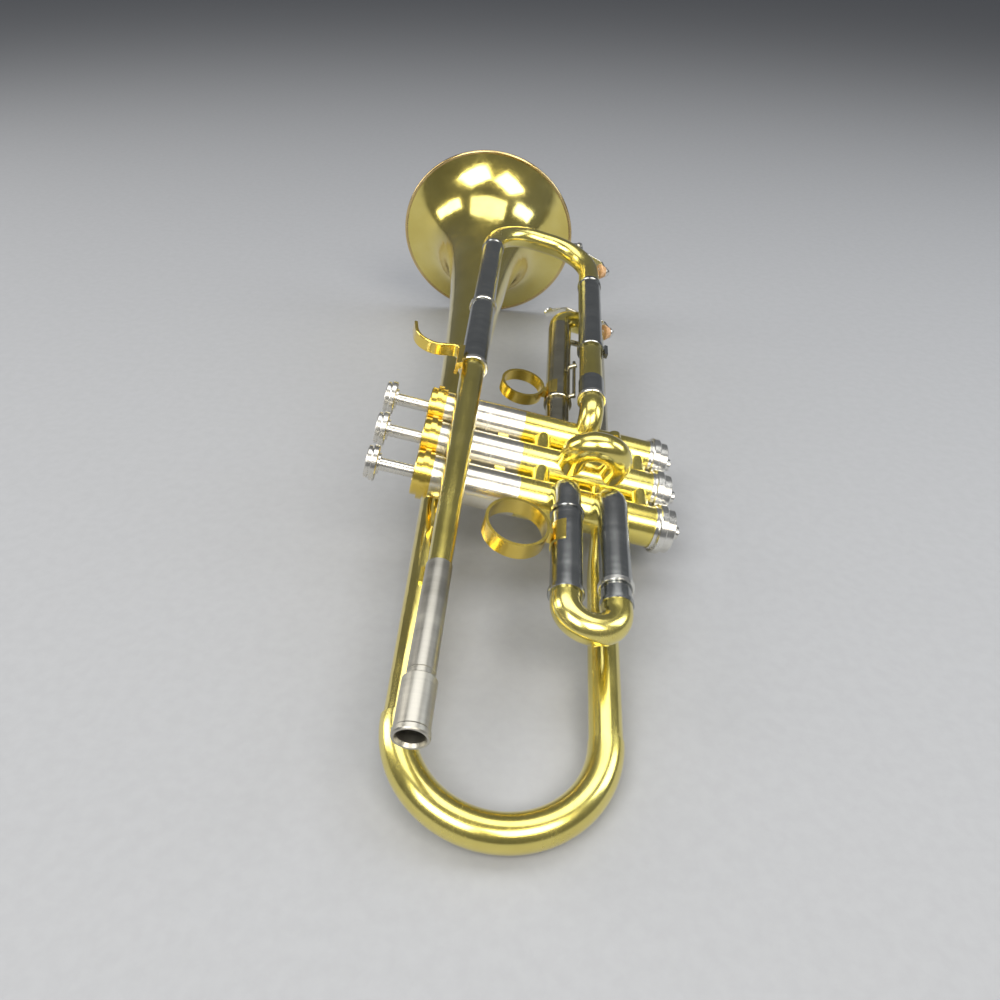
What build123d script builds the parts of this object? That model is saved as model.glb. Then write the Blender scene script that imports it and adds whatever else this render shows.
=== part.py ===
from build123d import *
import os
from math import cos, radians, sin

# A B flat trumpet lying on its left side. Every piece is drawn in the instrument's own
# frame (X towards the bell, Y to the player's left, Z towards the finger buttons, with
# the leadpipe axis at Z = 0 and the second valve's axis at X = Y = 0), and is laid down
# on its side when it is written. Sizes are millimetres.

# Bell
BELL_Y, BELL_Z = 20.0, 2.3
BELL_MOUTH_X = 274.0
BELL_MOUTH_R = 60.9
BELL_WALL = 0.9
BELL_BOW_X = -140.5
FLARE_DEPTH = 14.0
FLARE_POWER = 0.72
PIPE_END_R = 6.2
RIM_WIRE_R = 1.3
BELL_STEPS = [0, 3, 7, 13, 22, 35, 55, 85, 130, 200, 300]
BOW_R = 7.1
TAIL_Y, TAIL_Z = 9.4, -75.9
TAIL_R = 6.7

# Mouthpipe
LEAD_Y = -18.0
MOUTH_X = -170.4
BARREL_X = -147.9
SLEEVE_X = -95.6
BARREL_R, SLEEVE_R = 6.3, 5.2
SHANK_R = 5.0
SHANK_LEAD_IN, SHANK_STOP = 1.4, 1.5
LEAD_R_SMALL, LEAD_R_LARGE = 4.75, 6.05
LEAD_BORE_SMALL, LEAD_BORE_LARGE = 4.2, 5.5
LEAD_END_X = 40.9

# Slide tubes: an inner leg runs in an outer sleeve
OUTER_R, SLEEVE_BORE_R = 6.85, 6.35
INNER_R, AIR_R = 6.3, 5.85
BOW_TUBE_R = 6.55
FERRULE_WALL, FERRULE_LENGTH = 0.8, 2.4

# Main tuning slide
MAIN_Y, MAIN_Z = -16.1, -64.0
UPPER_SLEEVE_END_X = 104.6
MAIN_BOW_TOP_X, MAIN_BOW_LOW_X = 178.1, 165.6
LOWER_SLEEVE_END_X = 88.9
CROOK_SLEEVE_X = 58.8
CROOK_RING_X = 41.5
MAIN_ENGAGED = 17.0
MAIN_BOW_REACH_X = 207.0
MAIN_BOW_CORNER = 27.0

# Valves
VALVE_SPACING = 25.3
CASING_R = 9.9
BORE_R = 8.6
PISTON_R = 8.55
STROKE = 15.6
CAP_TOP_Z = 17.6
CASING_TOP_Z = 9.5
JUNCTION_Z = -31.2
CASING_LOW_Z = -97.5
CAP_LOW_Z = -107.5
BUTTON_LOW_Z = CAP_TOP_Z + STROKE + 0.3
STEM_R = 3.0
BARREL_TOP_Z = -5.0
KNUCKLE_R = 4.5
PISTON_TOP_Z = -37.0
PISTON_LOW_Z = -86.0
PORT_LEVELS = [-50.5, -63.0, -75.5]
PORT_R = 4.6
SPRING_BARREL_R, SPRING_BARREL_BORE_R = 8.0, 6.9
GUIDE_THICKNESS = 2.4
SLOT_HALF_WIDTH = 2.2
FELT_LOW_Z = 8.5

# First slide, to the rear of valve 1
FIRST_Y = -14.2
FIRST_UPPER_Z, FIRST_LOWER_Z = -52.2, -73.6
FIRST_RING_X = -44.2
FIRST_FERRULE_X = -93.0
FIRST_SLEEVE_END_X = -84.0
FIRST_INNER_REACH = 14.0
FIRST_LOWER_LEG = 42.0

# Second slide, to the right of valve 2 and swept a little to the rear
SECOND_UPPER_Z, SECOND_LOWER_Z = -55.4, -76.4
SECOND_SWEEP = 14.0
SECOND_STUB_REACH = 14.8
SECOND_TUBE_R = 7.1

# Third slide, ahead of valve 3
THIRD_Y = -1.2
THIRD_UPPER_Z, THIRD_LOWER_Z = -49.8, -71.0
THIRD_RING_X = 52.5
THIRD_BOW_X = 130.0
THIRD_LEG_X = 42.0
THIRD_BRACE_X = 119.0
THIRD_START_X = 29.3
THIRD_UPPER_TUBE, THIRD_LOWER_TUBE = 62.0, 32.0
STOP_ROD_START_X, STOP_ROD_END_X = 56.0, 90.0
STOP_ROD_OFFSET = (-5.2, -7.6)
STOP_ROD_R = 0.9

# Finger rings: the place along X, the radius and the width of each band
RING_WALL = 1.4
FIRST_FINGER_RING = (-61.0, 14.2, 8.0)
THIRD_FINGER_RING = (61.3, 11.9, 6.4)

# Braces between the bell pipe and the mouthpipe
BRACE_X = (-75.0, 52.0)
BRACE_Z = 1.2
BRACE_R = 1.8

# Finger hook
HOOK_WIDTH, HOOK_THICK = 7.0, 1.8
HOOK_Y = LEAD_Y - 3.5

# Lying on its side: the turns about the instrument's X and Z axes
LYING_ROLL = 13.0
LYING_PITCH = 6.45

VALVE_X = [-VALVE_SPACING, 0.0, VALVE_SPACING]
FORWARD, LEFT, UP = Vector(1, 0, 0), Vector(0, 1, 0), Vector(0, 0, 1)
os.makedirs("parts", exist_ok=True)
pieces = []


def keep(piece, node):
    """Name a finished piece and hold it until the instrument is laid down."""
    piece.part.label = node
    pieces.append(piece.part)


def turned(origin, direction, outline):
    """Revolve a closed outline of (along, radius) points about an axis."""
    axis = Vector(*direction).normalized()
    radial = Plane(origin=origin, z_dir=axis).x_dir
    with BuildPart() as piece:
        with BuildSketch(Plane(origin=origin, x_dir=radial, z_dir=radial.cross(axis))):
            with BuildLine():
                Polyline([(radius, along) for along, radius in outline], close=True)
            make_face()
        revolve(axis=Axis(origin, axis))
    return piece


def ring(origin, direction, length, outer, inner, bevel=0.0):
    """A collar that starts at origin, with its two outer edges bevelled."""
    outline = [(0, inner), (length, inner), (length, outer - bevel), (0, outer - bevel)]
    if bevel:
        outline[3:3] = [(length - bevel, outer), (bevel, outer)]
    return turned(origin, direction, outline)


def bent_rod(points, bend_radius, radius):
    """A solid round rod along a route with rounded corners."""
    with BuildPart() as piece:
        with BuildLine() as route:
            FilletPolyline(*points, radius=bend_radius)
        with BuildSketch(Plane(origin=route.line @ 0, z_dir=route.line % 0)):
            Circle(radius)
        sweep(path=route.line)
    return piece


def bent_tube(points, bend_radius, outer, inner):
    """A hollow tube along a route with rounded corners."""
    with BuildPart() as piece:
        add(bent_rod(points, bend_radius, outer).part)
        add(bent_rod(points, bend_radius, inner).part, mode=Mode.SUBTRACT)
    return piece


def flare_radius(x):
    """The bell's outer radius, which falls as a power of the distance behind the rim."""
    distance = BELL_MOUTH_X - x
    length = BELL_MOUTH_X - BELL_BOW_X
    growth = (1 + distance / FLARE_DEPTH) ** -FLARE_POWER
    left_over = (1 + length / FLARE_DEPTH) ** -FLARE_POWER
    return PIPE_END_R + (BELL_MOUTH_R - PIPE_END_R) * (growth - left_over * distance / length)


# Bell: one thin wall from the mouth back to the bow
bell_stations = [*[BELL_MOUTH_X - step for step in BELL_STEPS], BELL_BOW_X]
bell_outside = [(x, flare_radius(x)) for x in bell_stations]
bell_inside = [(x, flare_radius(x) - BELL_WALL) for x in bell_stations]
with BuildPart() as bell:
    with BuildSketch(Plane(origin=(0, BELL_Y, BELL_Z), x_dir=(1, 0, 0), z_dir=(0, -1, 0))):
        with BuildLine():
            Spline(bell_outside)
            Spline(bell_inside)
            Line(bell_outside[0], bell_inside[0])
            Line(bell_outside[-1], bell_inside[-1])
        make_face()
    revolve(axis=Axis((0, BELL_Y, BELL_Z), (1, 0, 0)))
keep(bell, "bell")

with BuildPart() as bell_core:
    with BuildSketch(Plane(origin=(0, BELL_Y, BELL_Z), x_dir=(1, 0, 0), z_dir=(0, -1, 0))):
        with BuildLine():
            Spline(bell_outside)
            Polyline(bell_outside[-1], (bell_outside[-1][0], 0), (bell_outside[0][0], 0), bell_outside[0])
        make_face()
    revolve(axis=Axis((0, BELL_Y, BELL_Z), (1, 0, 0)))

with BuildPart() as bell_rim_wire:
    with BuildSketch(Plane(origin=(0, BELL_Y, BELL_Z), x_dir=(1, 0, 0), z_dir=(0, -1, 0))):
        with Locations((BELL_MOUTH_X + RIM_WIRE_R * 0.5, BELL_MOUTH_R + RIM_WIRE_R * 0.1)):
            Circle(RIM_WIRE_R)
    revolve(axis=Axis((0, BELL_Y, BELL_Z), (1, 0, 0)))
    add(bell.part, mode=Mode.SUBTRACT)
keep(bell_rim_wire, "bell_rim_wire")

# Bell bow: the half circle that turns the bell pipe back towards the first valve
bow_top = Vector(BELL_BOW_X, BELL_Y, BELL_Z)
bow_low = Vector(BELL_BOW_X, TAIL_Y, TAIL_Z)
bow_apex = (bow_top + bow_low) * 0.5 - FORWARD * ((bow_top - bow_low).length / 2)
with BuildPart() as bell_bow:
    with BuildLine() as bow_route:
        ThreePointArc(bow_top, bow_apex, bow_low)
    with BuildSketch(Plane(origin=bow_top, z_dir=-FORWARD)):
        Circle(BOW_R)
        Circle(BOW_R - BELL_WALL, mode=Mode.SUBTRACT)
    sweep(path=bow_route.line)
keep(bell_bow, "bell_bow")

# Bell tail: from the bow forward into the back of valve 1
with BuildPart() as bell_tail:
    with BuildLine() as tail_route:
        FilletPolyline(
            bow_low,
            (-VALVE_SPACING - 30, TAIL_Y, TAIL_Z),
            (-VALVE_SPACING - 2, 1.0, TAIL_Z),
            radius=40,
        )
    with BuildSketch(Plane(origin=bow_low, z_dir=FORWARD)):
        Circle(TAIL_R)
        Circle(TAIL_R - BELL_WALL, mode=Mode.SUBTRACT)
    sweep(path=tail_route.line)
    with Locations((-VALVE_SPACING, 0, TAIL_Z)):
        Cylinder(CASING_R, 30, mode=Mode.SUBTRACT)
keep(bell_tail, "bell_tail")

# Receiver: the barrel that takes the mouthpiece, with its sleeve over the mouthpipe
barrel_length = BARREL_X - MOUTH_X
receiver_outline = [
    (0, SHANK_R + 0.5),
    (0, BARREL_R),
    (0.5, BARREL_R + 0.35),
    (2.2, BARREL_R + 0.35),
    (2.8, BARREL_R),
    (barrel_length - 0.6, BARREL_R),
    (barrel_length, BARREL_R - 0.6),
    (barrel_length, SLEEVE_R - 0.25),
    (barrel_length + 2.6, SLEEVE_R - 0.25),
    (barrel_length + 2.8, SLEEVE_R),
    (SLEEVE_X - MOUTH_X, SLEEVE_R),
    (SLEEVE_X - MOUTH_X, LEAD_R_SMALL),
    (barrel_length - SHANK_STOP, LEAD_R_SMALL),
    (barrel_length - SHANK_STOP, SHANK_R),
    (SHANK_LEAD_IN, SHANK_R),
]
receiver = turned((MOUTH_X, LEAD_Y, 0), FORWARD, receiver_outline)
keep(receiver, "receiver")

leadpipe_outline = [
    (BARREL_X, LEAD_BORE_SMALL),
    (BARREL_X, LEAD_R_SMALL),
    (SLEEVE_X, LEAD_R_SMALL),
    (LEAD_END_X, LEAD_R_LARGE),
    (LEAD_END_X, SLEEVE_BORE_R),
    (LEAD_END_X + 4.0, SLEEVE_BORE_R),
    (LEAD_END_X + 4.0, LEAD_BORE_LARGE),
]
leadpipe = turned((0, LEAD_Y, 0), FORWARD, leadpipe_outline)
keep(leadpipe, "leadpipe")

# Main tuning slide's fixed tubes
upper_length = UPPER_SLEEVE_END_X - LEAD_END_X
main_outer_tube = ring((LEAD_END_X, LEAD_Y, 0), FORWARD, upper_length, OUTER_R, SLEEVE_BORE_R)
keep(main_outer_tube, "main_outer_tube")

crook_start = LOWER_SLEEVE_END_X + MAIN_ENGAGED
third_x = VALVE_X[2]
with BuildPart() as third_valve_crook:
    with BuildLine() as crook_route:
        FilletPolyline(
            (crook_start, MAIN_Y, MAIN_Z),
            (third_x, MAIN_Y, MAIN_Z),
            (third_x, -4.0, MAIN_Z),
            radius=11.5,
        )
    with BuildSketch(Plane(origin=(crook_start, MAIN_Y, MAIN_Z), z_dir=-FORWARD)):
        Circle(INNER_R)
        Circle(AIR_R, mode=Mode.SUBTRACT)
    sweep(path=crook_route.line)
    with Locations((third_x, 0, MAIN_Z)):
        Cylinder(CASING_R, 30, mode=Mode.SUBTRACT)
keep(third_valve_crook, "third_valve_crook")

crook_sleeve_length = CROOK_SLEEVE_X - CROOK_RING_X
crook_sleeve = ring((CROOK_RING_X, MAIN_Y, MAIN_Z), FORWARD, crook_sleeve_length, OUTER_R - 0.1, INNER_R)
keep(crook_sleeve, "crook_sleeve")


def band(x, y, z, over, length=FERRULE_LENGTH, wall=FERRULE_WALL):
    """A ferrule ring centred on a tube that runs along X."""
    return ring((x - length / 2, y, z), FORWARD, length, over + wall, over, 0.3).part


# Ferrule rings soldered round the fixed tubes
with BuildPart() as ferrules:
    add(band(LEAD_END_X + 1.4, LEAD_Y, 0, OUTER_R, 2.8))
    add(band(UPPER_SLEEVE_END_X - 1.2, LEAD_Y, 0, OUTER_R))
    add(band(CROOK_RING_X + 1.2, MAIN_Y, MAIN_Z, OUTER_R - 0.1))
    add(band(FIRST_SLEEVE_END_X + 1.2, FIRST_Y, FIRST_LOWER_Z, OUTER_R))
keep(ferrules, "ferrules")

# Valves: a nickel upper casing on a brass lower casing, capped at both ends, with a
# piston that a spring holds up against the valve guide


def upper_casing(x):
    """The upper casing, wide enough for its guide to stand on the lower casing's end."""
    outline = [
        (JUNCTION_Z, BORE_R + 0.3),
        (JUNCTION_Z, CASING_R),
        (CASING_TOP_Z, CASING_R),
        (CASING_TOP_Z, CASING_R - 0.5),
        (CAP_TOP_Z - 4.0, CASING_R - 0.5),
        (CAP_TOP_Z - 4.0, BORE_R + 0.3),
    ]
    return turned((x, 0, 0), UP, outline)


def lower_casing(x):
    """The lower casing, bored where tubes enter it."""
    outline = [
        (CASING_LOW_Z - 4.0, BORE_R),
        (CASING_LOW_Z - 4.0, CASING_R - 0.5),
        (CASING_LOW_Z, CASING_R - 0.5),
        (CASING_LOW_Z, CASING_R),
        (JUNCTION_Z, CASING_R),
        (JUNCTION_Z, BORE_R),
    ]
    return turned((x, 0, 0), UP, outline)


def top_cap(x):
    """A stepped cap that screws over the upper casing and lets the stem through."""
    outline = [
        (CASING_TOP_Z, CASING_R - 0.45),
        (CASING_TOP_Z, 10.7),
        (CASING_TOP_Z + 2.2, 10.7),
        (CASING_TOP_Z + 2.2, 11.9),
        (CASING_TOP_Z + 4.9, 11.9),
        (CASING_TOP_Z + 4.9, 10.4),
        (CAP_TOP_Z - 0.5, 10.4),
        (CAP_TOP_Z, 9.9),
        (CAP_TOP_Z, 8.2),
        (CAP_TOP_Z - 0.8, 7.6),
        (CAP_TOP_Z - 0.8, STEM_R + 0.5),
        (CAP_TOP_Z - 3.0, STEM_R + 0.5),
        (CAP_TOP_Z - 3.0, CASING_R - 0.45),
    ]
    return turned((x, 0, 0), UP, outline)


def bottom_cap(x):
    """A cup that screws over the lower casing, with a vented nipple in its middle."""
    outline = [
        (CASING_LOW_Z, CASING_R - 0.45),
        (CASING_LOW_Z, 10.5),
        (CASING_LOW_Z - 1.8, 10.5),
        (CASING_LOW_Z - 1.8, 11.5),
        (CASING_LOW_Z - 2.3, 12.0),
        (CASING_LOW_Z - 5.2, 12.0),
        (CASING_LOW_Z - 5.7, 11.5),
        (CASING_LOW_Z - 5.7, 10.6),
        (CAP_LOW_Z + 0.6, 10.6),
        (CAP_LOW_Z, 10.0),
        (CAP_LOW_Z, 4.6),
        (CAP_LOW_Z - 1.6, 4.6),
        (CAP_LOW_Z - 1.6, 3.2),
        (CAP_LOW_Z - 3.8, 3.2),
        (CAP_LOW_Z - 3.8, 1.2),
        (CAP_LOW_Z + 1.4, 1.2),
        (CAP_LOW_Z + 1.4, CASING_R - 0.45),
    ]
    return turned((x, 0, 0), UP, outline)


def piston(x):
    """The piston with its cross ports, and the slotted spring barrel above it."""
    barrel_height = BARREL_TOP_Z - PISTON_TOP_Z
    with BuildPart() as piece:
        with Locations((x, 0, (PISTON_TOP_Z + PISTON_LOW_Z) / 2)):
            Cylinder(PISTON_R, PISTON_TOP_Z - PISTON_LOW_Z)
        with Locations((x, 0, PISTON_LOW_Z)):
            Cylinder(6.5, 8.0, align=(Align.CENTER, Align.CENTER, Align.MIN), mode=Mode.SUBTRACT)
        with Locations((x, 0, PISTON_TOP_Z)):
            Cylinder(SPRING_BARREL_R, barrel_height, align=(Align.CENTER, Align.CENTER, Align.MIN))
        with Locations((x, 0, PISTON_TOP_Z + 1.0)):
            Cylinder(
                SPRING_BARREL_BORE_R,
                barrel_height - 3.0,
                align=(Align.CENTER, Align.CENTER, Align.MIN),
                mode=Mode.SUBTRACT,
            )
        slot_low = JUNCTION_Z - 0.3
        slot_height = GUIDE_THICKNESS + STROKE + 1.0
        with Locations((x, 0, slot_low)):
            Box(
                20.0,
                2 * SLOT_HALF_WIDTH,
                slot_height,
                align=(Align.CENTER, Align.CENTER, Align.MIN),
                mode=Mode.SUBTRACT,
            )
        for level, turn in zip(PORT_LEVELS, (0, 60, 120)):
            with Locations(Location((x, 0, level), (0, 90, turn))):
                Cylinder(PORT_R, 20, mode=Mode.SUBTRACT)
    return piece


def stem(x):
    """The stem that joins the spring barrel to the finger button."""
    with BuildPart() as piece:
        with Locations((x, 0, BARREL_TOP_Z)):
            Cylinder(5.0, 1.6, align=(Align.CENTER, Align.CENTER, Align.MIN))
            Cylinder(
                STEM_R,
                BUTTON_LOW_Z - BARREL_TOP_Z,
                align=(Align.CENTER, Align.CENTER, Align.MIN),
            )
    return piece


def button(x):
    """A finger button: a collar, a wide rounded disc and a smaller dished top."""
    base = BUTTON_LOW_Z
    outline = [
        (base, 0),
        (base, 5.0),
        (base + 1.0, 5.0),
        (base + 1.0, 7.8),
        (base + 1.4, 8.4),
        (base + 3.4, 8.4),
        (base + 3.9, 7.9),
        (base + 3.9, 6.9),
        (base + 4.4, 6.9),
        (base + 4.4, 7.7),
        (base + 5.8, 7.7),
        (base + 6.2, 7.2),
        (base + 6.2, 6.3),
        (base + 5.7, 6.0),
        (base + 5.4, 0),
    ]
    return turned((x, 0, 0), UP, outline)


def valve_spring(x):
    """A coil spring between the guide and the top of the spring barrel."""
    wire, radius = 0.4, 5.6
    low = JUNCTION_Z + GUIDE_THICKNESS + wire
    height = BARREL_TOP_Z - 2.0 - wire - low
    with BuildPart() as piece:
        with BuildLine() as coil:
            Helix(pitch=height / 5, height=height, radius=radius, center=(x, 0, low))
        with BuildSketch(Plane(origin=coil.line @ 0, z_dir=coil.line % 0)):
            Circle(wire)
        sweep(path=coil.line, is_frenet=True)
    return piece


for number, valve_x in enumerate(VALVE_X, start=1):
    keep(upper_casing(valve_x), f"upper_casing_{number}")
    keep(lower_casing(valve_x), f"lower_casing_{number}")
    keep(top_cap(valve_x), f"top_cap_{number}")
    keep(bottom_cap(valve_x), f"bottom_cap_{number}")
    keep(piston(valve_x), f"piston_{number}")
    keep(stem(valve_x), f"stem_{number}")
    keep(button(valve_x), f"button_{number}")
    keep(valve_spring(valve_x), f"valve_spring_{number}")

with BuildPart() as valve_guides:
    with Locations([(x, 0, JUNCTION_Z) for x in VALVE_X]):
        Cylinder(6.4, GUIDE_THICKNESS, align=(Align.CENTER, Align.CENTER, Align.MIN))
        Box(
            2 * BORE_R,
            2 * SLOT_HALF_WIDTH - 0.4,
            GUIDE_THICKNESS,
            align=(Align.CENTER, Align.CENTER, Align.MIN),
        )
keep(valve_guides, "valve_guides")

with BuildPart() as stem_felts:
    with Locations([(x, 0, FELT_LOW_Z) for x in VALVE_X]):
        Cylinder(8.0, CAP_TOP_Z - 3.0 - FELT_LOW_Z, align=(Align.CENTER, Align.CENTER, Align.MIN))
        Cylinder(STEM_R + 0.4, 30, mode=Mode.SUBTRACT)
keep(stem_felts, "stem_felts")

# Knuckles: the short crossing tubes between neighbouring casings
with BuildPart() as valve_knuckles:
    for gap_x in (-VALVE_SPACING / 2, VALVE_SPACING / 2):
        with Locations([Location((gap_x, -2.6, level), (0, 90, 0)) for level in (-42.0, -92.0)]):
            Cylinder(KNUCKLE_R, 14)
        with Locations([Location((gap_x, 0, level), (0, 90, 0)) for level in (-58.0, -72.0)]):
            Cylinder(KNUCKLE_R, 14)
        with Locations([(gap_x, 0, level) for level in (-22.0, -5.0)]):
            Box(14, 4, 5)
    with Locations([(x, 0, -50) for x in VALVE_X]):
        Cylinder(CASING_R, 130, mode=Mode.SUBTRACT)
keep(valve_knuckles, "valve_knuckles")


def elbow(x, y, z, run_x, outer, inner):
    """A tube that leaves a valve to the side, then turns along X."""
    with BuildPart() as piece:
        with BuildLine() as route:
            FilletPolyline((x, -2.0, z), (x, y, z), (run_x, y, z), radius=9.6)
        with BuildSketch(Plane(origin=(x, -2.0, z), z_dir=(0, -1, 0))):
            Circle(outer)
            Circle(inner, mode=Mode.SUBTRACT)
        sweep(path=route.line)
        with Locations((x, 0, z)):
            Cylinder(CASING_R, 30, mode=Mode.SUBTRACT)
    return piece


# First slide
first_inner_end = FIRST_FERRULE_X + FIRST_INNER_REACH
first_valve_inner_tube = elbow(VALVE_X[0], FIRST_Y, FIRST_UPPER_Z, first_inner_end, INNER_R, AIR_R)
keep(first_valve_inner_tube, "first_valve_inner_tube")

first_valve_outer_tube = elbow(VALVE_X[0], FIRST_Y, FIRST_LOWER_Z, FIRST_SLEEVE_END_X, OUTER_R, SLEEVE_BORE_R)
keep(first_valve_outer_tube, "first_valve_outer_tube")

first_upper_leg = FIRST_RING_X - FIRST_FERRULE_X
first_upper_end = (FIRST_FERRULE_X, FIRST_Y, FIRST_UPPER_Z)
with BuildPart() as first_slide_legs:
    add(ring(first_upper_end, FORWARD, first_upper_leg, OUTER_R, SLEEVE_BORE_R).part)
    add(band(FIRST_RING_X - 1.2, FIRST_Y, FIRST_UPPER_Z, OUTER_R))
    add(band(FIRST_FERRULE_X + 1.2, FIRST_Y, FIRST_UPPER_Z, OUTER_R))
    add(ring((FIRST_FERRULE_X, FIRST_Y, FIRST_LOWER_Z), FORWARD, FIRST_LOWER_LEG, INNER_R, AIR_R).part)
    add(band(FIRST_FERRULE_X + 1.2, FIRST_Y, FIRST_LOWER_Z, INNER_R))
keep(first_slide_legs, "first_slide_legs")


def bow_points(x, y, upper_z, lower_z, reach):
    """The corners of the half loop that joins two slide legs; reach is negative to the rear."""
    return [(x, y, upper_z), (x + reach, y, upper_z), (x + reach, y, lower_z), (x, y, lower_z)]


first_half = (FIRST_UPPER_Z - FIRST_LOWER_Z) / 2
first_bow_points = bow_points(FIRST_FERRULE_X, FIRST_Y, FIRST_UPPER_Z, FIRST_LOWER_Z, -first_half - 3)
first_slide_bow = bent_tube(first_bow_points, first_half - 0.3, BOW_TUBE_R, AIR_R)
keep(first_slide_bow, "first_slide_bow")


def finger_ring(band_sizes, y, leg_z):
    """A flat ring band that stands on a slide leg, on a saddle wrapped round the leg."""
    x, radius, width = band_sizes
    centre_z = leg_z + OUTER_R + radius + 1.6
    with BuildPart() as piece:
        with BuildSketch(Plane(origin=(x, y + width / 2, centre_z), x_dir=(1, 0, 0), z_dir=(0, -1, 0))):
            Circle(radius)
            Circle(radius - RING_WALL, mode=Mode.SUBTRACT)
        extrude(amount=width)
        with Locations(Location((x, y, leg_z), (0, 90, 0))):
            Cylinder(OUTER_R + 0.6, 11)
        with Locations((x, y, leg_z + OUTER_R + 1.4)):
            Box(3.4, width * 0.75, 2.6)
        with Locations((x, y, leg_z + OUTER_R * 0.35)):
            Box(20, 20, 20, align=(Align.CENTER, Align.CENTER, Align.MAX), mode=Mode.SUBTRACT)
        with Locations(Location((x, y, leg_z), (0, 90, 0))):
            Cylinder(OUTER_R, 30, mode=Mode.SUBTRACT)
        with Locations(Location((x, y, centre_z), (90, 0, 0))):
            Cylinder(radius - RING_WALL, 30, mode=Mode.SUBTRACT)
    return piece


first_finger_ring = finger_ring(FIRST_FINGER_RING, FIRST_Y, FIRST_UPPER_Z)
keep(first_finger_ring, "first_finger_ring")

# Second slide: two stubs on the valve and a short fat bow
second_out = Vector(0, -1, 0).rotate(Axis.Z, -SECOND_SWEEP)
second_levels = [UP * SECOND_UPPER_Z, UP * SECOND_LOWER_Z]
second_half = (SECOND_UPPER_Z - SECOND_LOWER_Z) / 2
stub_start, stub_length = 7.0, SECOND_STUB_REACH - 7.0
leg_start, leg_end = CASING_R + 0.4, SECOND_STUB_REACH + 0.2
with BuildPart() as second_valve_tubes:
    for level in second_levels:
        stub_foot = level + second_out * stub_start
        add(ring(stub_foot, second_out, stub_length, SECOND_TUBE_R - 0.2, SLEEVE_BORE_R).part)
    with Locations((0, 0, -66)):
        Cylinder(CASING_R, 60, mode=Mode.SUBTRACT)
keep(second_valve_tubes, "second_valve_tubes")

with BuildPart() as second_slide_legs:
    for level in second_levels:
        add(ring(level + second_out * leg_start, second_out, leg_end - leg_start, INNER_R, AIR_R).part)
keep(second_slide_legs, "second_slide_legs")

second_points = [
    second_levels[0] + second_out * leg_end,
    second_levels[0] + second_out * (leg_end + second_half),
    second_levels[1] + second_out * (leg_end + second_half),
    second_levels[1] + second_out * leg_end,
]
knob_outline = [(5.0, 0), (5.0, 2.0), (9.0, 2.0), (9.0, 3.2), (12.5, 3.2), (13.2, 2.5), (13.2, 0)]
with BuildPart() as second_slide_bow:
    with BuildLine() as second_route:
        FilletPolyline(*second_points, radius=second_half - 0.4)
    with BuildSketch(Plane(origin=second_route.line @ 0, z_dir=second_route.line % 0)):
        Circle(SECOND_TUBE_R)
    sweep(path=second_route.line)
    with BuildSketch(Plane(origin=second_route.line @ 0, z_dir=second_route.line % 0)):
        Circle(AIR_R)
    sweep(path=second_route.line, mode=Mode.SUBTRACT)
    knob_level = UP * (SECOND_LOWER_Z + 4.0)
    add(turned(knob_level + second_out * (leg_end + second_half - 1.0), FORWARD, knob_outline).part)
keep(second_slide_bow, "second_slide_bow")

# Third slide
with BuildPart() as third_valve_tubes:
    add(ring((THIRD_START_X, THIRD_Y, THIRD_UPPER_Z), FORWARD, THIRD_UPPER_TUBE, INNER_R, AIR_R).part)
    add(ring((THIRD_START_X, THIRD_Y, THIRD_LOWER_Z), FORWARD, THIRD_LOWER_TUBE, OUTER_R, SLEEVE_BORE_R).part)
    with Locations((VALVE_X[2], 0, -60)):
        Cylinder(CASING_R, 60, mode=Mode.SUBTRACT)
keep(third_valve_tubes, "third_valve_tubes")

third_upper_leg, third_lower_leg = THIRD_BOW_X - THIRD_RING_X, THIRD_BOW_X - THIRD_LEG_X
third_gap_top, third_gap_low = THIRD_UPPER_Z - OUTER_R, THIRD_LOWER_Z + INNER_R
stop_rod_y, stop_rod_z = THIRD_Y + STOP_ROD_OFFSET[0], THIRD_UPPER_Z + STOP_ROD_OFFSET[1]
stop_rod_length = STOP_ROD_END_X - STOP_ROD_START_X
stop_rod_outline = [(0, 0), (0, STOP_ROD_R), (stop_rod_length, STOP_ROD_R), (stop_rod_length, 0)]
with BuildPart() as third_slide_legs:
    add(ring((THIRD_RING_X, THIRD_Y, THIRD_UPPER_Z), FORWARD, third_upper_leg, OUTER_R, SLEEVE_BORE_R).part)
    add(band(THIRD_RING_X + 1.2, THIRD_Y, THIRD_UPPER_Z, OUTER_R))
    add(ring((THIRD_LEG_X, THIRD_Y, THIRD_LOWER_Z), FORWARD, third_lower_leg, INNER_R, AIR_R).part)
    with Locations((THIRD_BRACE_X, THIRD_Y, (third_gap_top + third_gap_low) / 2)):
        Cylinder(1.7, third_gap_top - third_gap_low + 0.8)
    for post_x, post_end in ((STOP_ROD_START_X + 1.5, 9.6), (STOP_ROD_END_X - 4.0, 10.6)):
        post_outline = [(OUTER_R - 0.3, 0), (OUTER_R - 0.3, 1.3), (post_end, 1.3), (post_end, 0)]
        add(turned((post_x, THIRD_Y, THIRD_UPPER_Z), (0, *STOP_ROD_OFFSET), post_outline).part)
    add(turned((STOP_ROD_START_X, stop_rod_y, stop_rod_z), FORWARD, stop_rod_outline).part)
keep(third_slide_legs, "third_slide_legs")

third_half = (THIRD_UPPER_Z - THIRD_LOWER_Z) / 2
third_bow_points = bow_points(THIRD_BOW_X, THIRD_Y, THIRD_UPPER_Z, THIRD_LOWER_Z, third_half + 3)
third_slide_bow = bent_tube(third_bow_points, third_half - 0.3, BOW_TUBE_R, AIR_R)
keep(third_slide_bow, "third_slide_bow")

third_finger_ring = finger_ring(THIRD_FINGER_RING, THIRD_Y, THIRD_UPPER_Z)
keep(third_finger_ring, "third_finger_ring")

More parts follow.
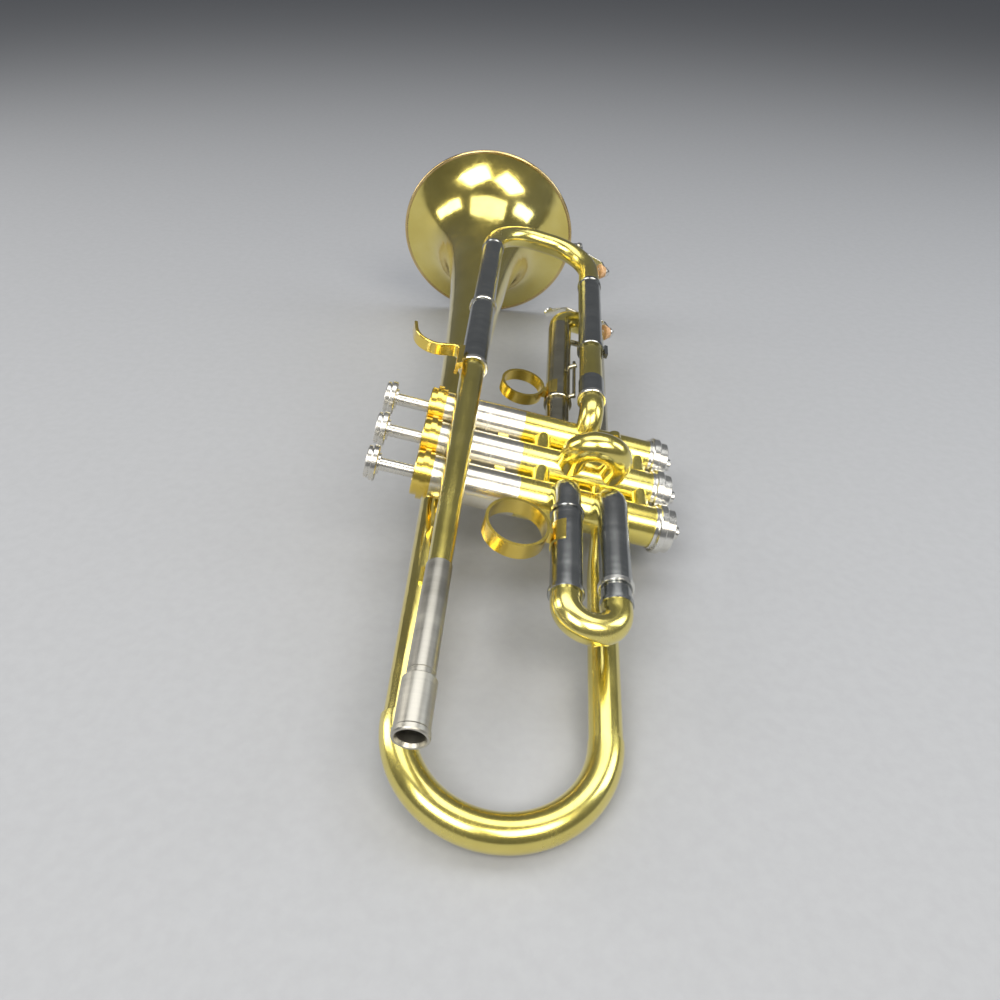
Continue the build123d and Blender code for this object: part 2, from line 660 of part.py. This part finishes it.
# Main tuning slide's moving pieces
upper_leg_x = UPPER_SLEEVE_END_X - MAIN_ENGAGED
with BuildPart() as main_slide_upper_leg:
    add(ring((upper_leg_x, LEAD_Y, 0), FORWARD, MAIN_BOW_TOP_X - upper_leg_x, INNER_R, AIR_R).part)
    add(band(MAIN_BOW_TOP_X - 1.2, LEAD_Y, 0, INNER_R, wall=0.5))
keep(main_slide_upper_leg, "main_slide_upper_leg")

lower_sleeve = MAIN_BOW_LOW_X - LOWER_SLEEVE_END_X
with BuildPart() as main_slide_lower_sleeve:
    add(ring((LOWER_SLEEVE_END_X, MAIN_Y, MAIN_Z), FORWARD, lower_sleeve, OUTER_R, SLEEVE_BORE_R).part)
    add(band(LOWER_SLEEVE_END_X + 1.4, MAIN_Y, MAIN_Z, OUTER_R, 2.8))
    add(band(MAIN_BOW_LOW_X - 1.4, MAIN_Y, MAIN_Z, OUTER_R, 2.8, 0.5))
    with Locations((LOWER_SLEEVE_END_X + 1.0, MAIN_Y - 2.0, MAIN_Z - OUTER_R - 1.3)):
        Box(9.0, 3.0, 1.8)
keep(main_slide_lower_sleeve, "main_slide_lower_sleeve")

main_bow_points = [
    (MAIN_BOW_TOP_X, LEAD_Y, 0),
    (MAIN_BOW_REACH_X, LEAD_Y, 0),
    (MAIN_BOW_REACH_X, MAIN_Y, MAIN_Z),
    (MAIN_BOW_LOW_X, MAIN_Y, MAIN_Z),
]
main_slide_bow = bent_tube(main_bow_points, MAIN_BOW_CORNER, BOW_TUBE_R, AIR_R)
keep(main_slide_bow, "main_slide_bow")

# Water keys: a sprung lever follows the outside of a bow, on a pin between two ears, and
# holds a conical cork pad against a nipple
KEY_PIN_R, KEY_HOLE_R = 0.8, 0.86
KEY_PLATE = 1.2
KEY_WIDTH = 4.4
PIN_RISE = 4.6
NIPPLE_R, NIPPLE_RISE = 2.6, 1.2
PAD_R, PAD_THICK = 4.9, 4.0
EAR_GAP, EAR_THICK = 0.3, 1.0


def around(centre, radius, degrees):
    """A point on a circle in the XZ plane, measured from straight down towards the bell."""
    turn = radians(degrees)
    return (centre[0] + radius * sin(turn), centre[1] - radius * cos(turn))


def outwards(degrees):
    """The direction that leaves the circle there."""
    return Vector(sin(radians(degrees)), 0, -cos(radians(degrees)))


def key_saddle(y, centre, surface, pin_angle, pad_angle, rod):
    """Two ears and a headed pin on the bow, and the nipple under the pad."""
    pin = around(centre, surface + PIN_RISE, pin_angle)
    feet = [around(centre, surface - 0.9, pin_angle + side) for side in (-7, 7)]
    ear_start = KEY_WIDTH / 2 + EAR_GAP
    with BuildPart() as piece:
        for ear_y in (y - ear_start, y + ear_start + EAR_THICK):
            with BuildSketch(Plane(origin=(0, ear_y, 0), x_dir=(1, 0, 0), z_dir=(0, -1, 0))):
                with Locations(pin, *feet):
                    Circle(1.9)
                make_hull()
            extrude(amount=EAR_THICK)
        with Locations(Location((pin[0], y, pin[1]), (90, 0, 0))):
            Cylinder(KEY_PIN_R, 2 * (ear_start + EAR_THICK))
        for head_y in (y - ear_start - EAR_THICK - 0.4, y + ear_start + EAR_THICK + 0.4):
            with Locations(Location((pin[0], head_y, pin[1]), (90, 0, 0))):
                Cylinder(1.6, 0.8)
        foot = around(centre, surface - 2.0, pad_angle)
        add(ring((foot[0], y, foot[1]), outwards(pad_angle), NIPPLE_RISE + 2.0, NIPPLE_R, 1.5).part)
        add(rod.part, mode=Mode.SUBTRACT)
    return piece


def key_lever(y, centre, surface, pin_angle, pad_angle, approach, touch_route):
    """A bent strip with a touch at one end and a cup for the pad at the other."""
    plate_radius = surface + NIPPLE_RISE + 0.05 + PAD_THICK + KEY_PLATE / 2
    pin = around(centre, surface + PIN_RISE, pin_angle)
    under_pin = around(centre, surface + PIN_RISE - 2.0, pin_angle)
    before_pad = around(centre, plate_radius / cos(radians(approach)), pad_angle + approach)
    cup = around(centre, plate_radius, pad_angle)
    route_xz = [*touch_route, under_pin, before_pad, cup]
    with BuildPart() as piece:
        with BuildLine() as route:
            FilletPolyline(*[(x, y, z) for x, z in route_xz], radius=2.5)
        with BuildSketch(Plane(origin=route.line @ 0, x_dir=(0, 1, 0), z_dir=route.line % 0)):
            RectangleRounded(KEY_WIDTH, KEY_PLATE, 0.4)
        sweep(path=route.line)
        with Locations(Location((pin[0], y, pin[1]), (90, 0, 0))):
            Cylinder(1.9, KEY_WIDTH)
        touch_direction = (route.line % 0).cross(LEFT)
        touch_plane = Plane(origin=route.line @ 0, x_dir=(0, 1, 0), z_dir=touch_direction)
        with BuildSketch(touch_plane.offset(-KEY_PLATE / 2)):
            Circle(3.0)
        extrude(amount=KEY_PLATE)
        low_face = PAD_THICK + KEY_PLATE
        cup_outline = [
            (PAD_THICK, 0),
            (PAD_THICK, 3.3),
            (low_face - 0.3, 3.3),
            (low_face, 2.9),
            (low_face + 1.6, 1.9),
            (low_face + 2.4, 0),
        ]
        pad_foot = around(centre, surface + NIPPLE_RISE + 0.05, pad_angle)
        add(turned((pad_foot[0], y, pad_foot[1]), outwards(pad_angle), cup_outline).part)
        with Locations(Location((pin[0], y, pin[1]), (90, 0, 0))):
            Cylinder(KEY_HOLE_R, 12, mode=Mode.SUBTRACT)
    return piece


def key_pad(y, centre, surface, pad_angle):
    """The conical cork pad between the nipple and the lever's cup."""
    foot = around(centre, surface + NIPPLE_RISE + 0.05, pad_angle)
    outline = [(0, 0), (0, PAD_R - 0.4), (0.4, PAD_R), (1.4, PAD_R - 0.3), (PAD_THICK, 3.2), (PAD_THICK, 0)]
    return turned((foot[0], y, foot[1]), outwards(pad_angle), outline)


main_rod = bent_rod(main_bow_points, MAIN_BOW_CORNER, BOW_TUBE_R)
main_centre = (MAIN_BOW_REACH_X - MAIN_BOW_CORNER, MAIN_Z + MAIN_BOW_CORNER)
main_surface = MAIN_BOW_CORNER + BOW_TUBE_R
main_pin_angle, main_pad_angle, main_approach = 59, 15, 14
main_touch = [around(main_centre, main_surface + 4.2, 98), around(main_centre, main_surface + 3.0, 79)]
main_key_saddle = key_saddle(MAIN_Y, main_centre, main_surface, main_pin_angle, main_pad_angle, main_rod)
keep(main_key_saddle, "main_key_saddle")
main_water_key = key_lever(
    MAIN_Y, main_centre, main_surface, main_pin_angle, main_pad_angle, main_approach, main_touch
)
keep(main_water_key, "main_water_key")
keep(key_pad(MAIN_Y, main_centre, main_surface, main_pad_angle), "main_key_pad")

third_corner = third_half - 0.3
third_rod = bent_rod(third_bow_points, third_corner, BOW_TUBE_R)
third_centre = (THIRD_BOW_X + third_half + 3 - third_corner, THIRD_LOWER_Z + third_corner)
third_surface = third_corner + BOW_TUBE_R
third_pin_angle, third_pad_angle, third_approach = 80, 22, 24
third_touch = [around(third_centre, third_surface + 6.5, 142), around(third_centre, third_surface + 6.5, 108)]
third_key_saddle = key_saddle(
    THIRD_Y, third_centre, third_surface, third_pin_angle, third_pad_angle, third_rod
)
keep(third_key_saddle, "third_key_saddle")
third_water_key = key_lever(
    THIRD_Y, third_centre, third_surface, third_pin_angle, third_pad_angle, third_approach, third_touch
)
keep(third_water_key, "third_water_key")
keep(key_pad(THIRD_Y, third_centre, third_surface, third_pad_angle), "third_key_pad")

# Braces between the bell pipe and the mouthpipe, with a pad at each end
with BuildPart() as body_braces:
    for brace_x in BRACE_X:
        with Locations(Location((brace_x, (BELL_Y + LEAD_Y) / 2, BRACE_Z), (90, 0, 0))):
            Cylinder(BRACE_R, BELL_Y - LEAD_Y - 8.0)
        for pad_y in (LEAD_Y + 5.6, BELL_Y - flare_radius(brace_x) + 0.4):
            with Locations((brace_x, pad_y, BRACE_Z)):
                Box(9.0, 2.6, 8.0)
        with Locations(Location((brace_x, LEAD_Y, 0), (0, 90, 0))):
            Cylinder(OUTER_R + 0.02, 40, mode=Mode.SUBTRACT)
    add(bell_core.part, mode=Mode.SUBTRACT)
keep(body_braces, "body_braces")

# Finger hook: a strip that rises from the upper slide tube and curls towards the bell
hook_outline = [(33, 8.3), (50, 8.3), (45.5, 21), (49, 31), (61, 33.5)]
hook_points = [(x, HOOK_Y, z) for x, z in hook_outline]
with BuildPart() as finger_hook:
    with BuildLine() as hook_route:
        FilletPolyline(*hook_points, radius=[3.0, 10.0, 12.0])
    with BuildSketch(Plane(origin=hook_route.line @ 0, x_dir=(0, 1, 0), z_dir=hook_route.line % 0)):
        RectangleRounded(HOOK_WIDTH, HOOK_THICK, 0.6)
    sweep(path=hook_route.line)
    with Locations((42, HOOK_Y, OUTER_R + 0.6)):
        Box(16, HOOK_WIDTH, 2.4)
    with Locations(Location((45, LEAD_Y, 0), (0, 90, 0))):
        Cylinder(OUTER_R + FERRULE_WALL, 60, mode=Mode.SUBTRACT)
keep(finger_hook, "finger_hook")

# Lying down: the instrument's X turns to the shelf's Y and its left side faces down, then
# it rolls and pitches until the bell rim and the bow carry it in balance, and the origin
# goes to the middle of its footprint.
side = Location(Plane(origin=(0, 0, 0), x_dir=(0, 1, 0), z_dir=(-1, 0, 0)))
tilt = Location((0, 0, 0), (0, LYING_ROLL, 0)) * Location((0, 0, 0), (LYING_PITCH, 0, 0))
on_side = tilt * side
boxes = [piece.moved(on_side).bounding_box() for piece in pieces]
low = [min(getattr(box.min, axis) for box in boxes) for axis in ("X", "Y", "Z")]
high = [max(getattr(box.max, axis) for box in boxes) for axis in ("X", "Y", "Z")]
to_origin = Location((-(low[0] + high[0]) / 2, -(low[1] + high[1]) / 2, -low[2]))
LAID = to_origin * on_side

if __name__ == "__main__":
    for piece in pieces:
        placed = piece.moved(LAID)
        placed.label = piece.label
        export_step(placed, f"parts/{piece.label}.step")
    print("size", [round(top - bottom, 1) for bottom, top in zip(low, high)])
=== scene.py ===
from math import cos, radians, sin

import bpy
from mathutils import Euler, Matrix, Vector

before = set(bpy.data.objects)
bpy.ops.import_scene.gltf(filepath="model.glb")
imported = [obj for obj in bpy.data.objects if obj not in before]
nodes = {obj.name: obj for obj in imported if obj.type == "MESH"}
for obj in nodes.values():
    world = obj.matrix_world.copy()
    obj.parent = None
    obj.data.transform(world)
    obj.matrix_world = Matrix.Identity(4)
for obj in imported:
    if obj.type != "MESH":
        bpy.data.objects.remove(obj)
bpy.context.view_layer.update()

# The instrument's length runs near +Y as it lies, and its valves run near X.
LYING_TILT = Euler((radians(6.4), radians(13.0), 0.0))

# The height of the fine relief in each kind of finish, in metres.
POLISH_RELIEF, LATHE_RELIEF, SOFT_RELIEF = 0.00001, 0.00002, 0.0003


# ---------------------------------------------------------------- materials
class Graph:
    """A small helper that adds linked nodes to a material."""

    def __init__(self, name):
        self.material = bpy.data.materials.new(name)
        self.material.use_nodes = True
        self.tree = self.material.node_tree
        self.shader = self.tree.nodes["Principled BSDF"]
        self.place = self.add("ShaderNodeTexCoord").outputs["Object"]

    def add(self, kind, **values):
        node = self.tree.nodes.new(kind)
        for key, value in values.items():
            setattr(node, key, value)
        return node

    def link(self, source, target):
        self.tree.links.new(source, target)

    def noise(self, scale, detail=4.0, roughness=0.55, stretch=(1, 1, 1), turn=(0, 0, 0)):
        """Noise in the object's own space; an axis with a small stretch value has long features."""
        mapping = self.add("ShaderNodeMapping")
        mapping.vector_type = "TEXTURE"
        mapping.inputs["Rotation"].default_value = turn
        scaling = self.add("ShaderNodeMapping")
        scaling.inputs["Scale"].default_value = stretch
        self.link(self.place, mapping.inputs["Vector"])
        self.link(mapping.outputs["Vector"], scaling.inputs["Vector"])
        node = self.add("ShaderNodeTexNoise")
        node.inputs["Scale"].default_value = scale
        node.inputs["Detail"].default_value = detail
        node.inputs["Roughness"].default_value = roughness
        self.link(scaling.outputs["Vector"], node.inputs["Vector"])
        return node.outputs["Fac"]

    def ramp(self, factor, *stops):
        """A colour ramp from (position, colour) stops."""
        node = self.add("ShaderNodeValToRGB")
        elements = node.color_ramp.elements
        while len(elements) < len(stops):
            elements.new(0.5)
        for element, (position, colour) in zip(elements, stops):
            element.position = position
            element.color = (*colour, 1.0) if len(colour) == 3 else colour
        self.link(factor, node.inputs["Fac"])
        return node.outputs["Color"]

    def spread(self, factor, low, high, start=0.3, end=0.7):
        """Map a factor to a number between low and high."""
        node = self.add("ShaderNodeMapRange")
        node.inputs["From Min"].default_value = start
        node.inputs["From Max"].default_value = end
        node.inputs["To Min"].default_value = low
        node.inputs["To Max"].default_value = high
        self.link(factor, node.inputs["Value"])
        return node.outputs["Result"]

    def sum(self, first, second):
        node = self.add("ShaderNodeMath", operation="ADD")
        self.link(first, node.inputs[0])
        self.link(second, node.inputs[1])
        return node.outputs["Value"]

    def bump(self, height, strength, distance):
        node = self.add("ShaderNodeBump")
        node.inputs["Strength"].default_value = strength
        node.inputs["Distance"].default_value = distance
        self.link(height, node.inputs["Height"])
        self.link(node.outputs["Normal"], self.shader.inputs["Normal"])

    def set(self, **values):
        """Set the shader's own sockets, with an underscore for each space in a socket's name."""
        for key, value in values.items():
            self.shader.inputs[key.replace("_", " ")].default_value = value


def brass(name, dark, base, pale, rough=(0.17, 0.27)):
    """Lacquered brass: a clear coat over warm metal, with smudges and hairline scratches."""
    g = Graph(name)
    g.set(Metallic=1.0, Coat_Weight=0.8, Coat_Roughness=0.08, Coat_IOR=1.5)
    cloud = g.noise(22.0, 5.0)
    g.link(g.ramp(cloud, (0.30, dark), (0.50, base), (0.72, pale)), g.shader.inputs["Base Color"])
    smudge = g.noise(60.0, 6.0, 0.65)
    hair = g.noise(900.0, 3.0, 0.6, (1.0, 0.06, 1.0), LYING_TILT)
    marks = g.sum(g.spread(smudge, rough[0], rough[1]), g.spread(hair, 0.0, 0.05, 0.45, 0.75))
    g.link(marks, g.shader.inputs["Roughness"])
    g.bump(g.sum(g.spread(hair, 0.0, 0.4), g.spread(smudge, 0.0, 0.6)), 0.15, POLISH_RELIEF)
    return g.material


def turned_metal(name, dark, base, pale, stretch, rough, lines):
    """Metal finished on a lathe: fine rings round the axis, with faint tarnish."""
    g = Graph(name)
    g.set(Metallic=1.0)
    rings = g.noise(260.0, 3.0, 0.7, stretch, LYING_TILT)
    cloud = g.noise(35.0, 5.0, 0.6)
    mix = g.sum(g.spread(rings, 0.0, 0.5, 0.25, 0.75), g.spread(cloud, 0.0, 0.5))
    g.link(g.ramp(mix, (0.15, dark), (0.5, base), (0.85, pale)), g.shader.inputs["Base Color"])
    roughness = g.sum(g.spread(rings, rough[0], rough[1]), g.spread(cloud, 0.0, 0.06))
    g.link(roughness, g.shader.inputs["Roughness"])
    g.bump(rings, lines, LATHE_RELIEF)
    return g.material


def bright_metal(name, dark, base, rough):
    """Polished plate with faint swirls and finger smudges."""
    g = Graph(name)
    g.set(Metallic=1.0)
    cloud = g.noise(90.0, 6.0, 0.6)
    fine = g.noise(1400.0, 2.0)
    g.link(g.ramp(cloud, (0.3, dark), (0.65, base)), g.shader.inputs["Base Color"])
    roughness = g.sum(g.spread(cloud, rough[0], rough[1]), g.spread(fine, 0.0, 0.04))
    g.link(roughness, g.shader.inputs["Roughness"])
    g.bump(g.sum(cloud, fine), 0.15, POLISH_RELIEF)
    return g.material


def cork_material():
    g = Graph("cork")
    grain = g.noise(700.0, 6.0, 0.7)
    specks = g.noise(1800.0, 3.0)
    mix = g.sum(g.spread(grain, 0.0, 0.6), g.spread(specks, 0.0, 0.4))
    colour = g.ramp(mix, (0.2, (0.30, 0.15, 0.06)), (0.5, (0.68, 0.40, 0.20)), (0.8, (0.86, 0.60, 0.36)))
    g.link(colour, g.shader.inputs["Base Color"])
    g.link(g.spread(grain, 0.7, 0.95), g.shader.inputs["Roughness"])
    g.bump(mix, 0.6, SOFT_RELIEF)
    return g.material


def felt_material():
    g = Graph("felt")
    fibre = g.noise(2200.0, 5.0, 0.8)
    colour = g.ramp(fibre, (0.3, (0.45, 0.40, 0.33)), (0.7, (0.74, 0.68, 0.58)))
    g.link(colour, g.shader.inputs["Base Color"])
    g.link(g.spread(fibre, 0.85, 1.0), g.shader.inputs["Roughness"])
    g.bump(fibre, 0.8, SOFT_RELIEF)
    return g.material


# How the lathe rings are stretched: long round the axis, fine along it.
ROUND_TUBES = (0.05, 1.0, 0.05)
ROUND_VALVES = (1.0, 0.05, 0.05)
BRASS = brass("lacquered_brass", (0.70, 0.58, 0.13), (0.80, 0.68, 0.18), (0.88, 0.77, 0.26))
BELL_BRASS = brass(
    "bell_brass", (0.72, 0.58, 0.13), (0.82, 0.68, 0.18), (0.90, 0.78, 0.27), (0.10, 0.20)
)
# Brass for the lower casings and knuckles, brighter than the tube brass: painted light, a lit copy of
# the same lacquered brass.
LIT_CASING_BRASS = brass(
    "casing_brass_painted_light", (0.84, 0.67, 0.12), (0.92, 0.77, 0.18), (0.96, 0.85, 0.28), (0.18, 0.28)
)
RING_BRASS = brass(
    "warm_brass", (0.80, 0.56, 0.07), (0.90, 0.67, 0.12), (0.95, 0.76, 0.20), (0.16, 0.26)
)
WIRE_BRASS = brass(
    "rim_brass", (0.50, 0.35, 0.13), (0.70, 0.52, 0.22), (0.82, 0.66, 0.34), (0.16, 0.30)
)
# Nickel silver of the slides and tubes, its base darkened to charcoal: painted shade standing in for the
# dark surroundings these tubes reflect.
NICKEL = turned_metal(
    "nickel_silver", (0.36, 0.37, 0.36), (0.40, 0.41, 0.40), (0.45, 0.46, 0.44),
    ROUND_TUBES, (0.15, 0.21), 0.02
)
WARM_NICKEL = turned_metal(
    "warm_nickel", (0.50, 0.46, 0.33), (0.54, 0.50, 0.37), (0.59, 0.55, 0.42),
    ROUND_TUBES, (0.13, 0.20), 0.02
)
BRUSHED_NICKEL = turned_metal(
    "brushed_nickel", (0.42, 0.40, 0.34), (0.50, 0.48, 0.42), (0.60, 0.58, 0.50),
    ROUND_TUBES, (0.26, 0.36), 0.60
)
# The same nickel silver on the upper casings, about twice as bright as the tube nickel: a painted
# highlight, the lit copy of that metal.
LIT_CASING_NICKEL = turned_metal(
    "casing_nickel_painted_highlight", (0.78, 0.73, 0.60), (0.82, 0.78, 0.67), (0.88, 0.85, 0.76),
    ROUND_VALVES, (0.17, 0.25), 0.03
)
PLATE = bright_metal("nickel_plate", (0.74, 0.72, 0.66), (0.86, 0.85, 0.80), (0.16, 0.26))
SILVER = bright_metal("silver_plate", (0.68, 0.66, 0.60), (0.78, 0.76, 0.70), (0.20, 0.30))
WIRE = bright_metal("spring_wire", (0.45, 0.43, 0.40), (0.62, 0.60, 0.56), (0.20, 0.32))
CORK = cork_material()
FELT = felt_material()

# The first entry whose text starts a node's name gives its finish; the rest are lacquered brass. The
# tube and casing nickel, and the casing brass, are lit and shaded copies of one metal, with painted
# shade and painted highlight in their base colours.
FINISHES = [
    ("upper_casing", LIT_CASING_NICKEL),
    ("lower_casing", LIT_CASING_BRASS),
    ("top_cap", RING_BRASS),
    ("bottom_cap", PLATE),
    ("bell_rim_wire", WIRE_BRASS),
    ("bell_bow", BRASS),
    ("bell_tail", BRASS),
    ("bell", BELL_BRASS),
    ("ferrules", PLATE),
    ("receiver", BRUSHED_NICKEL),
    ("main_outer_tube", NICKEL),
    ("crook_sleeve", NICKEL),
    ("main_slide_upper_leg", NICKEL),
    ("main_slide_lower_sleeve", NICKEL),
    ("first_slide_legs", NICKEL),
    ("first_valve_inner_tube", NICKEL),
    ("first_valve_outer_tube", NICKEL),
    ("second_slide_legs", NICKEL),
    ("third_slide_legs", WARM_NICKEL),
    ("third_valve_tubes", WARM_NICKEL),
    ("valve_guides", NICKEL),
    ("main_key_saddle", PLATE),
    ("third_key_saddle", PLATE),
    ("main_water_key", PLATE),
    ("third_water_key", PLATE),
    ("main_key_pad", CORK),
    ("third_key_pad", CORK),
    ("first_finger_ring", RING_BRASS),
    ("third_finger_ring", RING_BRASS),
    ("finger_hook", RING_BRASS),
    ("piston", PLATE),
    ("stem_felts", FELT),
    ("stem", SILVER),
    ("button", SILVER),
    ("valve_spring", WIRE),
    ("valve_knuckles", LIT_CASING_BRASS),
]


def finish_for(name):
    for start, material in FINISHES:
        if name.startswith(start):
            return material
    return BRASS


for name, node in nodes.items():
    node.data.materials.clear()
    node.data.materials.append(finish_for(name))


# ---------------------------------------------------------------- studio
def plain_material(name, colour, roughness):
    g = Graph(name)
    g.set(Roughness=roughness)
    grain = g.noise(180.0, 4.0)
    shade = tuple(channel * 0.96 for channel in colour)
    g.link(g.ramp(grain, (0.35, shade), (0.65, colour)), g.shader.inputs["Base Color"])
    return g.material


def floor():
    """A plain round floor, wide enough to fill the view."""
    radius, sides = 7.0, 96
    turns = [radians(360 * side / sides) for side in range(sides)]
    points = [(radius * cos(turn), radius * sin(turn), 0.0) for turn in turns]
    mesh = bpy.data.meshes.new("floor")
    mesh.from_pydata(points, [], [tuple(range(sides))])
    mesh.materials.append(plain_material("pale_floor", (0.36, 0.37, 0.39), 0.75))
    piece = bpy.data.objects.new("floor", mesh)
    bpy.context.scene.collection.objects.link(piece)


floor()


def softbox(name, place, target, size, power, colour=(1, 1, 1)):
    data = bpy.data.lights.new(name, "AREA")
    data.shape = "RECTANGLE"
    data.size, data.size_y = size
    data.energy = power
    data.color = colour
    light = bpy.data.objects.new(name, data)
    light.location = place
    light.rotation_euler = (Vector(target) - Vector(place)).to_track_quat("-Z", "Y").to_euler()
    bpy.context.scene.collection.objects.link(light)


# Two large lights stand behind the viewer, one lies over the valves and two are low at the sides.
middle = (0.0, 0.0, 0.04)
softbox("left", (-0.48, -0.85, 1.05), middle, (0.80, 0.62), 11.0, (1.0, 0.98, 0.94))
softbox("right", (0.50, -0.80, 1.10), middle, (0.80, 0.62), 11.0, (1.0, 0.94, 0.84))
softbox("side", (-1.20, 0.20, 0.60), middle, (0.40, 0.90), 6.0, (1.0, 0.97, 0.92))
softbox("fill", (1.15, 0.05, 0.75), middle, (0.5, 0.7), 5.0, (0.92, 0.96, 1.0))
softbox("top", (0.0, 0.30, 1.40), middle, (1.6, 0.75), 9.5)

world = bpy.data.worlds.new("studio")
world.use_nodes = True
world.node_tree.nodes["Background"].inputs["Color"].default_value = (0.15, 0.155, 0.165, 1.0)
world.node_tree.nodes["Background"].inputs["Strength"].default_value = 1.0
bpy.context.scene.world = world

# ---------------------------------------------------------------- camera
camera_data = bpy.data.cameras.new("camera")
camera_data.sensor_width = 36.0
camera_data.lens = 29.43
camera_data.shift_x = -0.002
camera_data.clip_start = 0.01
camera = bpy.data.objects.new("camera", camera_data)
camera.location = (0.0058, -0.3843, 0.2667)
camera.rotation_euler = (radians(53.54), radians(-1.58), radians(2.31))
bpy.context.scene.collection.objects.link(camera)
bpy.context.scene.camera = camera
bpy.context.scene.view_settings.view_transform = "Standard"
